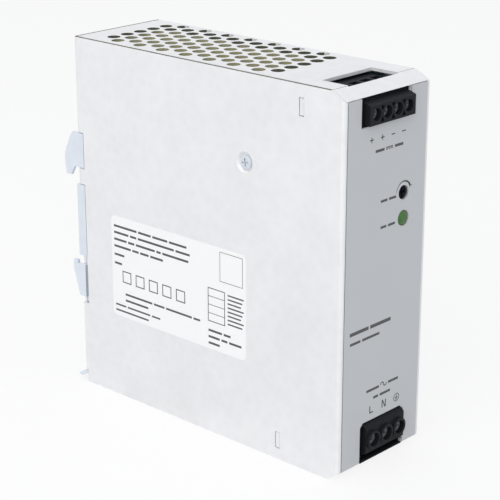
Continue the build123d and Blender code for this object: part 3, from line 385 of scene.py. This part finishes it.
node_finish = {
    "case": ["side_cover", "chassis"],
    "bracket": ["rail_bracket", "rail_latch"],
    "spring": ["latch_spring"],
    "screw": ["side_screw", "bracket_rivets", "board_standoffs", "board_screws"],
    "film": ["front_overlay"],
    "label": ["rating_label"],
    "terminal": ["output_terminal_block", "input_terminal_block"],
    "copper": ["output_contacts", "input_contacts"],
    "blue": ["trimmer_body"],
    "pot": ["trimmer_rotor"],
    "lens": ["status_led"],
    "board": ["main_board", "output_board", "input_board", "indicator_board"],
    "sheet": ["insulation_sheet"],
    "ferrite": ["transformer_core", "choke_core", "output_inductor_core"],
    "black": ["transformer_bobbin", "bridge_rectifier", "primary_transistor", "output_rectifier"],
    "tape": ["transformer_winding"],
    "wire": ["choke_winding", "output_inductor_winding"],
    "sleeve": ["bulk_capacitor", "output_capacitors"],
    "box_yellow": ["film_capacitor"],
    "ceramic": ["fuse"],
    "disc": ["inrush_thermistor"],
    "anodised": ["primary_heat_sink", "secondary_heat_sink"],
}
for name in nodes:
    if "_screw_" in name or "_cage_" in name:
        node_finish["screw"].append(name)

for key, names in node_finish.items():
    for name in names:
        slots = nodes[name].data.materials
        slots.clear()
        slots.append(finish[key])


# ---------------------------------------------------------------- making pieces
SHARP = math.radians(35)      # edges bent more than this stay crisp
WELD = 0.002 * MM             # vertices nearer than this are one


def add_piece(name, shape, key, body="case", stands_for=()):
    """Turns a finished bmesh into a piece with its finish, riding on a body."""
    bmesh.ops.remove_doubles(shape, verts=shape.verts, dist=WELD)
    bmesh.ops.recalc_face_normals(shape, faces=shape.faces)
    for face in shape.faces:
        face.smooth = True
    for edge in shape.edges:
        edge.smooth = edge.calc_face_angle(math.pi) < SHARP
    mesh = bpy.data.meshes.new(name)
    shape.to_mesh(mesh)
    shape.free()
    mesh.materials.append(finish[key])
    made = bpy.data.objects.new(name, mesh)
    bpy.context.scene.collection.objects.link(made)
    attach(made, body)
    if stands_for:
        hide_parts(*stands_for)
    return made


def join(shape, added):
    """Adds a finished bmesh to a shape, and frees it."""
    mesh = bpy.data.meshes.new("added")
    added.to_mesh(mesh)
    added.free()
    shape.from_mesh(mesh)
    bpy.data.meshes.remove(mesh)


def new_verts(made):
    """The vertices among what a bmesh operator made."""
    return [v for v in made if isinstance(v, bmesh.types.BMVert)]


def facing(out, at):
    """Stands a shape made on the XY plane, top up, at a place with its top towards out."""
    return Matrix.Translation(at) @ Vector(out).to_track_quat("Z", "Y").to_matrix().to_4x4()


def draw_out(shape, edges, scale, rise):
    """Pulls a ring of edges out into a new band, scaled about the axis and moved along it."""
    made = bmesh.ops.extrude_edge_only(shape, edges=edges)["geom"]
    verts = new_verts(made)
    bmesh.ops.scale(shape, vec=(scale, scale, 1), verts=verts)
    bmesh.ops.translate(shape, vec=(0, 0, rise), verts=verts)
    return [e for e in made if isinstance(e, bmesh.types.BMEdge)]


# ---------------------------------------------------------------- screws
THREAD_ROOT = 0.84            # root of a thread over its outer radius


def cross_head(shape, radius, height, edge, recess):
    """A round head from z = 0 down to -height, with a cross recess; returns its lower rim."""
    cells, reach = 5, 0.56 * radius
    bmesh.ops.create_grid(shape, x_segments=cells, y_segments=cells, size=reach)
    half_cell = reach / cells
    centres = {face: face.calc_center_median() for face in shape.faces}
    cross = [f for f, c in centres.items() if min(abs(c.x), abs(c.y)) < half_cell]
    border = [e for e in shape.edges if e.is_boundary]
    rim = draw_out(shape, border, 1.0, 0.0)
    for vert in {v for e in rim for v in e.verts}:
        vert.co = vert.co.normalized() * (radius - edge)
    bmesh.ops.inset_region(shape, faces=cross, thickness=0.02 * radius, depth=-recess)
    # the rim is rounded over in two steps
    shoulder = radius - 0.3 * edge
    rim = draw_out(shape, rim, shoulder / (radius - edge), -0.3 * edge)
    rim = draw_out(shape, rim, radius / shoulder, -0.7 * edge)
    return draw_out(shape, rim, 1.0, edge - height)


def thread(shape, radius, pitch, start, turns):
    """A right-hand thread below the head, from z = start downwards."""
    steps = 14
    root = THREAD_ROOT * radius
    profile = [(root, 0.0), (radius, 0.36), (radius, 0.64), (root, 1.0)]
    chain = [shape.verts.new((r, 0, start - turns * pitch + z * pitch)) for r, z in profile]
    edges = [shape.edges.new(pair) for pair in zip(chain, chain[1:])]
    bmesh.ops.spin(shape, geom=chain + edges, cent=(0, 0, 0), axis=(0, 0, 1),
                   dvec=(0, 0, pitch / steps), angle=2 * math.pi * (turns - 1),
                   steps=steps * (turns - 1))


def machine_screw(name, node, body, out, shank, pitch, head, edge, recess, turn):
    """A detailed screw in the place of a plain one: head, undercut, thread and tip."""
    low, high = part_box(node)
    size, out = high - low, Vector(out)
    axis = max(range(3), key=lambda i: abs(out[i]))
    length, radius = size[axis], size[(axis + 1) % 3] / 2
    shape = bmesh.new()
    under = cross_head(shape, radius, head, edge, recess)
    neck = draw_out(shape, under, THREAD_ROOT * shank / radius, 0.0)
    tip = draw_out(shape, neck, 1.0, head - length)
    bmesh.ops.holes_fill(shape, edges=tip)
    thread(shape, shank, pitch, -head, int((length - head) / pitch))
    bmesh.ops.rotate(shape, cent=(0, 0, 0), matrix=Matrix.Rotation(turn, 3, "Z"), verts=shape.verts)
    bmesh.ops.transform(shape, matrix=facing(out, centre(node) + out * length / 2),
                        verts=shape.verts)
    # the clamp screws take the finish darkened as painted shade
    add_piece(name, shape, "screw_dark" if body != "case" else "screw", body,
              (node,))


terminals = (("output", 4, 1.25 * MM, 0.45 * MM), ("input", 3, 1.75 * MM, 0.60 * MM))
for row, count, shank, pitch in terminals:
    for i in range(1, count + 1):
        machine_screw(f"{row}_clamp_screw_{i}", f"{row}_screw_{i}", f"{row}_screw_{i}",
                      out=(0, -1, 0), shank=shank, pitch=pitch, head=1.52 * MM,
                      edge=0.25 * MM, recess=1.0 * MM, turn=0.5 * i)
machine_screw("cover_screw", "side_screw", "case", out=(-1, 0, 0), shank=1.5 * MM,
              pitch=0.5 * MM, head=0.8 * MM, edge=0.35 * MM, recess=0.65 * MM, turn=0.15)


# ---------------------------------------------------------------- wound rings
def one_turn(width, depth, wire):
    """One loop of wire round a rectangular section that lies on XZ, as a mesh."""
    loop = bpy.data.curves.new("turn", "CURVE")
    loop.dimensions = "3D"
    loop.bevel_depth = wire / 2
    loop.bevel_resolution = 1
    loop.resolution_u = 2
    spline = loop.splines.new("NURBS")
    bend = ((1, 0.6), (1, 1), (0.6, 1))      # a corner, and the ends of the sides beside it
    ways_round = ((1, 1, 1), (-1, 1, -1), (-1, -1, 1), (1, -1, -1))
    path = [(side * width / 2 * a, end * depth / 2 * b)
            for side, end, order in ways_round for a, b in bend[::order]]
    spline.points.add(len(path) - 1)
    for point, (x, z) in zip(spline.points, path):
        point.co = (x, 0, z, 1)
    spline.use_cyclic_u = True
    spline.order_u = 3
    holder = bpy.data.objects.new("turn", loop)
    mesh = bpy.data.meshes.new_from_object(holder)
    bpy.data.objects.remove(holder)
    return mesh


def wound_ring(name, core, cover, bore, wire, spans):
    """Turns of enamelled wire side by side on a ring core, over each span in degrees."""
    low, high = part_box(core)
    outer = (high.z - low.z) / 2
    width, thick = outer - bore, high.x - low.x
    turn = one_turn(width + wire, thick + wire, wire)
    shape = bmesh.new()
    slack = 1.04
    step = math.degrees(wire / (bore - wire / 2)) * slack
    stand = Matrix.Translation(centre(core)) @ Matrix.Rotation(math.pi / 2, 4, "Y")
    for start, end in spans:
        count = int((end - start) / step)
        for i in range(count):
            angle = math.radians(start + (i + 0.5) * (end - start) / count)
            about = Matrix.Rotation(angle, 4, "Z") @ Matrix.Translation((bore + width / 2, 0, 0))
            added = bmesh.new()
            added.from_mesh(turn)
            bmesh.ops.transform(added, matrix=stand @ about, verts=added.verts)
            join(shape, added)
    bpy.data.meshes.remove(turn)
    add_piece(name, shape, "wire", stands_for=(cover,))


wound_ring("line_choke_turns", "choke_core", "choke_winding", 6.0 * MM, 1.15 * MM,
           ((-70, 70), (110, 250)))
wound_ring("output_choke_turns", "output_inductor_core", "output_inductor_winding", 5.0 * MM,
           0.95 * MM, ((120, 420),))


# ---------------------------------------------------------------- spring of the rail latch
def coil_spring():
    """Round-wire spring with closed ends."""
    low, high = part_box("latch_spring")
    height = high.z - low.z
    wire = 0.6 * MM
    reach = (high.x - low.x - wire) / 2
    shape = bmesh.new()
    ring = bmesh.ops.create_circle(shape, segments=8, radius=wire / 2, cap_ends=True)["verts"]
    stand = Matrix.Translation((reach, 0, wire / 2)) @ Matrix.Rotation(math.pi / 2, 4, "X")
    bmesh.ops.transform(shape, matrix=stand, verts=ring)
    end = shape.verts[:] + shape.edges[:] + shape.faces[:]
    steps, open_turns = 18, 6
    open_pitch = (height - 3 * wire) / open_turns
    for turns, pitch in ((1, wire), (open_turns, open_pitch), (1, wire)):
        end = bmesh.ops.spin(shape, geom=end, cent=(0, 0, 0), axis=(0, 0, 1),
                             dvec=(0, 0, pitch / steps), angle=2 * math.pi * turns,
                             steps=steps * turns)["geom_last"]
    middle = centre("latch_spring")
    seat = (middle.x, middle.y, low.z)
    bmesh.ops.translate(shape, vec=seat, verts=shape.verts)
    joint = next(j for j in frame["record"]["behaviour"]["joints"] if j["name"] == "latch_slide")
    travel, clearance = -joint["range_m"][0], 0.005
    made = add_piece("latch_coil_spring", shape, "spring",
                     stands_for=("latch_spring",))
    (height - travel) / height - clearance
    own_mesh(made)


coil_spring()


# ---------------------------------------------------------------- lining under the vents
def lay(shape, left, right, front, back, height):
    """Stretches a shape one metre wide and deep to these bounds, and lifts it to a height."""
    bmesh.ops.scale(shape, vec=(right - left, back - front, 1), verts=shape.verts)
    bmesh.ops.translate(shape, vec=((left + right) / 2, (front + back) / 2, height),
                        verts=shape.verts)


def lining():
    """Yellow insulating film folded over the circuit, close under the vents."""
    shape = bmesh.new()
    left, top = cover_low.x + 2.2 * MM, chassis_high.z - 1.3 * MM
    bmesh.ops.create_grid(shape, x_segments=6, y_segments=12, size=0.5)
    lay(shape, left, lining_right, lining_front, lining_back, top)
    # free edge bent down beside the left panel
    side = [e for e in shape.edges if e.is_boundary
            and all(abs(v.co.x - left) < 0.01 * MM for v in e.verts)]
    made = bmesh.ops.extrude_edge_only(shape, edges=side)["geom"]
    bmesh.ops.translate(shape, vec=(-0.6 * MM, 0, -7 * MM), verts=new_verts(made))
    bmesh.ops.solidify(shape, geom=shape.faces[:], thickness=0.25 * MM)
    add_piece("insulation_lining", shape, "lining")


lining()


# ---------------------------------------------------------------- black strip of painted shade under the input block
def sill_shade_strip():
    """Black strip on the sill of the input opening, under the block, standing for the shade there.
    """
    low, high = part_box("input_terminal_block")
    sill, tall = ground + 2.8 * MM, 0.4 * MM
    shape = bmesh.new()
    bmesh.ops.create_grid(shape, x_segments=1, y_segments=1, size=0.5)
    lay(shape, low.x - 1.7 * MM, high.x, film_front - 0.02 * MM, film_front + 3.0 * MM, sill)
    made = bmesh.ops.extrude_face_region(shape, geom=shape.faces[:])["geom"]
    bmesh.ops.translate(shape, vec=(0, 0, tall), verts=new_verts(made))
    upper = [e for e in shape.edges if all(v.co.z > sill + tall / 2 for v in e.verts)]
    bmesh.ops.bevel(shape, geom=upper, offset=0.12 * MM, offset_type="OFFSET", segments=2,
                    profile=0.5, affect="EDGES", material=-1)
    add_piece("input_sill_shade_strip", shape, "terminal")


sill_shade_strip()


# ---------------------------------------------------------------- printed marks
class Print:
    """Ink on a flat face. u runs along the reading direction and v upwards, in millimetres."""

    thickness = 0.02

    def __init__(self, name, corner, across, ink_key):
        self.name, self.ink_key = name, ink_key
        across, up = Vector(across), Vector((0, 0, 1))
        turn = Matrix((across, up, across.cross(up))).transposed().to_4x4()
        self.place = Matrix.Translation(corner) @ turn @ Matrix.Scale(MM, 4)
        self.shape = bmesh.new()

    def block(self, u, v, width, height, lean=0.0):
        """A filled block about its middle, turned by lean."""
        stretch = Matrix.Diagonal((width, height, self.thickness, 1))
        matrix = (self.place @ Matrix.Translation((u, v, self.thickness / 2))
                  @ Matrix.Rotation(lean, 4, "Z") @ stretch)
        bmesh.ops.create_cube(self.shape, size=1.0, matrix=matrix)

    def slanted(self, u, v, width, height, line):
        """A stroke from the upper left corner of a space down to its lower right corner."""
        shear = Matrix.Identity(4)
        shear[1][0] = -(height - 0.01) / width
        stretch = Matrix.Diagonal((width, line, self.thickness, 1))
        matrix = self.place @ Matrix.Translation((u, v, self.thickness / 2)) @ shear @ stretch
        bmesh.ops.create_cube(self.shape, size=1.0, matrix=matrix)

    def frame(self, left, low, width, height, line):
        """An outlined box."""
        u, v = left + width / 2, low + height / 2
        for side in (-1, 1):
            self.block(u, v + side * (height - line) / 2, width, line)
            self.block(u + side * (width - line) / 2, v, line, height - 2 * line)

    def arc(self, u, v, radius, line, start=0.0, sweep=360.0):
        """A ring, or part of one, swept from a start angle in degrees."""
        shape = bmesh.new()
        turn = Matrix.Rotation(math.radians(start), 4, "Z")
        half, high = line / 2, self.thickness
        corners = ((-half, 0), (half, 0), (half, high), (-half, high))
        section = [shape.verts.new(turn @ Vector((radius + out, 0, up))) for out, up in corners]
        loop = [shape.edges.new(pair) for pair in zip(section, section[1:] + section[:1])]
        full, step = sweep >= 360.0, 12
        bmesh.ops.spin(shape, geom=section + loop, cent=(0, 0, 0), axis=(0, 0, 1),
                       angle=math.radians(sweep), steps=max(2, int(abs(sweep) / step)),
                       use_merge=full)
        if not full:
            bmesh.ops.holes_fill(shape, edges=[e for e in shape.edges if e.is_boundary])
        bmesh.ops.transform(shape, matrix=self.place @ Matrix.Translation((u, v, 0)),
                            verts=shape.verts)
        join(self.shape, shape)

    def bars(self, left, low, height, lengths, gap=0.8):
        """A line of plain bars, the place of a line of text."""
        u = left
        for length in lengths:
            self.block(u + length / 2, low + height / 2, length, height)
            u += length + gap

    def finish(self):
        add_piece(self.name, self.shape, self.ink_key)


def direct_current(sheet, u, v, width, line):
    """The direct-current sign: a bar over three dashes."""
    sheet.block(u, v + 1.6 * line, width, line)
    for i in (-1, 0, 1):
        sheet.block(u + i * width * 0.37, v, width * 0.26, line)


def alternating_current(sheet, u, v, width, line):
    """The alternating-current sign: one wave of two half rings."""
    radius = width / 4
    sheet.arc(u - radius, v, radius, line, 0, 180)
    sheet.arc(u + radius, v, radius, line, 180, 180)


def earth_sign(sheet, u, v, radius, line):
    """The earth sign in a ring."""
    sheet.arc(u, v, radius, line)
    sheet.block(u, v + 0.35 * radius, line, 0.75 * radius)
    for i, share in enumerate((1.15, 0.75, 0.35)):
        sheet.block(u, v - (0.05 + 0.27 * i) * radius, share * radius, line)


def turning_arrow(sheet, u, v, radius):
    """An arc that thickens towards its arrow head, over the trimmer."""
    start, sweep, steps = 172, -142, 9
    thin, thick = 0.14, 0.60
    for i in range(steps):
        line = thin + (thick - thin) * i / (steps - 1)
        sheet.arc(u, v, radius, line, start + sweep * i / steps, sweep / steps - 0.5)
    tip = math.radians(start + sweep)
    for lean in (0.45, -0.45):
        sheet.block(u + radius * math.cos(tip) + 0.45 * math.sin(lean),
                    v + radius * math.sin(tip), 0.34, 1.5, tip + lean)


def print_front():
    """Marks on the front film: u from the case's left side, v from its foot."""
    corner = (cover_low.x, film_front, ground)
    sheet = Print("front_print", corner, (1, 0, 0), "ink")
    pale = Print("front_pale_print", corner, (1, 0, 0), "pale_ink")

    def place(node):
        at = centre(node)
        return (at.x - cover_low.x) / MM, (at.z - ground) / MM

    # polarity of the output clamps
    level, width, line = 107.2, 1.7, 0.34
    for i, sign in enumerate("++--", 1):
        u = place(f"output_screw_{i}")[0]
        sheet.block(u, level, width, line)
        if sign == "+":
            arm = (width - line) / 2
            for side in (1, -1):
                sheet.block(u, level + side * width * 0.3, line, arm)
    # output kind, between two bars
    direct_current(sheet, 21.0, 103.1, 3.2, 0.32)
    # input kind, between two bars
    alternating_current(sheet, 21.4, 26.7, 2.9, 0.34)
    turning_arrow(sheet, *place("trimmer_rotor"), 3.55)
    # left, foot, height and lengths of each line of bars, from the top down
    for left, low, height, lengths in (
            (14.4, 102.9, 0.85, (4.2,)), (23.6, 102.9, 0.85, (4.0,)),
            (17.5, 86.8, 0.8, (3.2, 3.4)),
            (17.7, 78.5, 0.8, (2.8, 3.4)),
            (4.2, 47.3, 1.15, (9.0, 10.0)),
            (4.4, 44.2, 0.85, (5.0, 8.4)),
            (12.9, 26.1, 0.85, (6.2,)), (23.7, 26.1, 0.85, (5.0,)),
            (16.4, 23.1, 0.85, (2.4, 5.2))):
        pale.bars(left, low, height, lengths)
    # clamp letters
    live, neutral, earth = (place(f"input_screw_{i}")[0] for i in (1, 2, 3))
    low, tall, line = 18.6, 2.5, 0.42
    level = low + tall / 2
    stem, foot = live - 0.6, 1.4
    sheet.block(stem, level, line, tall)
    sheet.block(stem + (foot + line) / 2, low + line / 2, foot, line)
    reach = 0.82
    for side in (-1, 1):
        sheet.block(neutral + side * reach, level, line, tall)
    sheet.slanted(neutral, level, 2 * reach - line, tall, 2.08 * line)
    earth_sign(sheet, earth, level, 1.3, 0.24)
    sheet.finish()
    pale.finish()


def print_label():
    """Neutral print of the rating label: bars for lines, empty boxes and a small table."""
    corner = (label_low.x, label_high.y, label_low.z)
    sheet = Print("label_print", corner, (0, -1, 0), "ink")
    pale = Print("label_pale_print", corner, (0, -1, 0), "pale_ink")
    top, margin = (label_high.z - label_low.z) / MM, 1.3
    # drop from the top edge and lengths of each line of bars
    for drop, lengths in (
            (3.8, (11.0, 6.0, 7.0, 8.0)),
            (6.1, (7.0, 3.0, 17.0, 6.5)),
            (8.5, (6.0, 3.0, 9.0, 2.0, 12.0)),
            (10.9, (8.0, 3.0, 4.0, 6.0)),
            (13.9, (4.7,)),
            (17.0, (3.5,))):
        pale.bars(margin, top - drop, 0.75, lengths)
    # a row of empty boxes
    for i in range(5):
        sheet.frame(5.0 + 6.4 * i, 12.6, 4.2, 4.2, 0.35)
    for low, lengths in ((8.2, (13.0, 5.0, 12.0, 3.0)), (6.0, (11.0,))):
        pale.bars(6.2, low, 0.7, lengths)
    for low, lengths in ((3.7, (5.0, 11.0, 4.0)), (1.7, (16.0,))):
        pale.bars(margin, low, 0.6, lengths)
    # an empty box, and a table with blank rows
    pale.frame(50.6, 24.4, 10.0, 10.0, 0.18)
    sheet.frame(45.2, 9.6, 7.6, 11.6, 0.28)
    for i in range(3):
        sheet.block(49.0, 12.5 + 2.9 * i, 7.0, 0.2)
    for i in range(8):
        pale.bars(54.0, 20.2 - 1.4 * i, 0.5, (7.0 - 0.6 * (i % 3),))
    for low, lengths in ((6.1, (6.0, 3.0)), (3.9, (5.0, 2.6, 5.4)), (1.7, (5.0,))):
        pale.bars(45.4, low, 0.75, lengths)
    sheet.finish()
    pale.finish()


print_front()
print_label()


# ---------------------------------------------------------------- stage, camera and light
WHITE = (1, 1, 1, 1)


def seen_directly(tree):
    """1 on camera rays and on those that metal or glass sends on, 0 on the object's light."""
    path = tree.nodes.new("ShaderNodeLightPath")
    seen = path.outputs["Is Camera Ray"]
    for ray in ("Is Glossy Ray", "Is Transmission Ray"):
        either = tree.nodes.new("ShaderNodeMath")
        either.operation = "MAXIMUM"
        tree.links.new(seen, either.inputs[0])
        tree.links.new(path.outputs[ray], either.inputs[1])
        seen = either.outputs[0]
    return seen


def show(tree, factor, usual, bright, end):
    """Mixes a shader with a white one by a factor, and feeds the tree's end with it."""
    bright.inputs["Color"].default_value = WHITE
    bright.inputs["Strength"].default_value = 1.0
    mix = tree.nodes.new("ShaderNodeMixShader")
    tree.links.new(factor, mix.inputs[0])
    tree.links.new(usual.outputs[0], mix.inputs[1])
    tree.links.new(bright.outputs[0], mix.inputs[2])
    tree.links.new(mix.outputs[0], end.inputs[0])


def set_stage():
    """A pale floor that keeps the contact shadow and reads white to the camera."""
    mesh = bpy.data.meshes.new("floor")
    shape = bmesh.new()
    below = 0.2 * MM
    bmesh.ops.create_grid(shape, x_segments=1, y_segments=1, size=6.0)
    bmesh.ops.translate(shape, verts=shape.verts, vec=(0, 0, ground - below))
    shape.to_mesh(mesh)
    shape.free()
    floor = bpy.data.objects.new("floor", mesh)
    bpy.context.scene.collection.objects.link(floor)
    f = Finish("floor", Roughness=0.9)
    f.sets(Base_Color=f.blend((0.90, 0.90, 0.90), (0.92, 0.92, 0.92), f.noise(40.0)))
    own_light = 0.80
    share = Socket(f, seen_directly(f.tree)) * own_light
    show(f.tree, share.output, f.shader, f.tree.nodes.new("ShaderNodeEmission"), f.surface)
    mesh.materials.append(f.data)


def set_world():
    """A soft even light from all round, seen as white."""
    world = bpy.data.worlds.new("studio")
    bpy.context.scene.world = world
    world.use_nodes = True
    tree = world.node_tree
    soft = tree.nodes["Background"]
    soft.inputs["Color"].default_value = (0.93, 0.96, 1.0, 1)
    soft.inputs["Strength"].default_value = 0.42
    show(tree, seen_directly(tree), soft, tree.nodes.new("ShaderNodeBackground"),
         tree.nodes["World Output"])


def area_light(name, place, size, power, colour=(1, 1, 1)):
    """A soft box aimed at the middle of the object."""
    lamp = bpy.data.lights.new(name, "AREA")
    lamp.shape = "RECTANGLE"
    lamp.size, lamp.size_y = size
    lamp.energy = power
    lamp.color = colour
    light = bpy.data.objects.new(name, lamp)
    light.location = place
    aim = (cad_box[0] + cad_box[1]) / 2 - Vector(place)
    light.rotation_euler = aim.to_track_quat("-Z", "Y").to_euler()
    bpy.context.scene.collection.objects.link(light)


def set_camera(azimuth, elevation, target, distance, lens_mm):
    """A camera at a distance from its target; azimuth 0 looks at the front, in degrees."""
    azimuth, elevation = math.radians(azimuth), math.radians(elevation)
    back = Vector((math.sin(azimuth) * math.cos(elevation),
                   -math.cos(azimuth) * math.cos(elevation), math.sin(elevation)))
    optics = bpy.data.cameras.new("camera")
    optics.lens = lens_mm
    optics.clip_start = 0.01
    camera = bpy.data.objects.new("camera", optics)
    camera.location = Vector(target) + back * distance
    camera.rotation_euler = (-back).to_track_quat("-Z", "Y").to_euler()
    bpy.context.scene.collection.objects.link(camera)
    bpy.context.scene.camera = camera


set_stage()
set_world()
area_light("key", (-1.2, -0.5, 0.9), (1.9, 1.6), 17.0, (1.0, 0.99, 0.98))
area_light("front", (0.5, -1.6, 0.5), (1.7, 1.7), 3.2)
area_light("top", (0.1, 0.2, 1.5), (2.0, 2.0), 7.6, (0.95, 0.97, 1.0))
set_camera(-47.1, 19.2, target=(0.0002, -0.0611, -0.0031), distance=0.5329, lens_mm=116.9)
bpy.context.scene.view_settings.view_transform = "Standard"
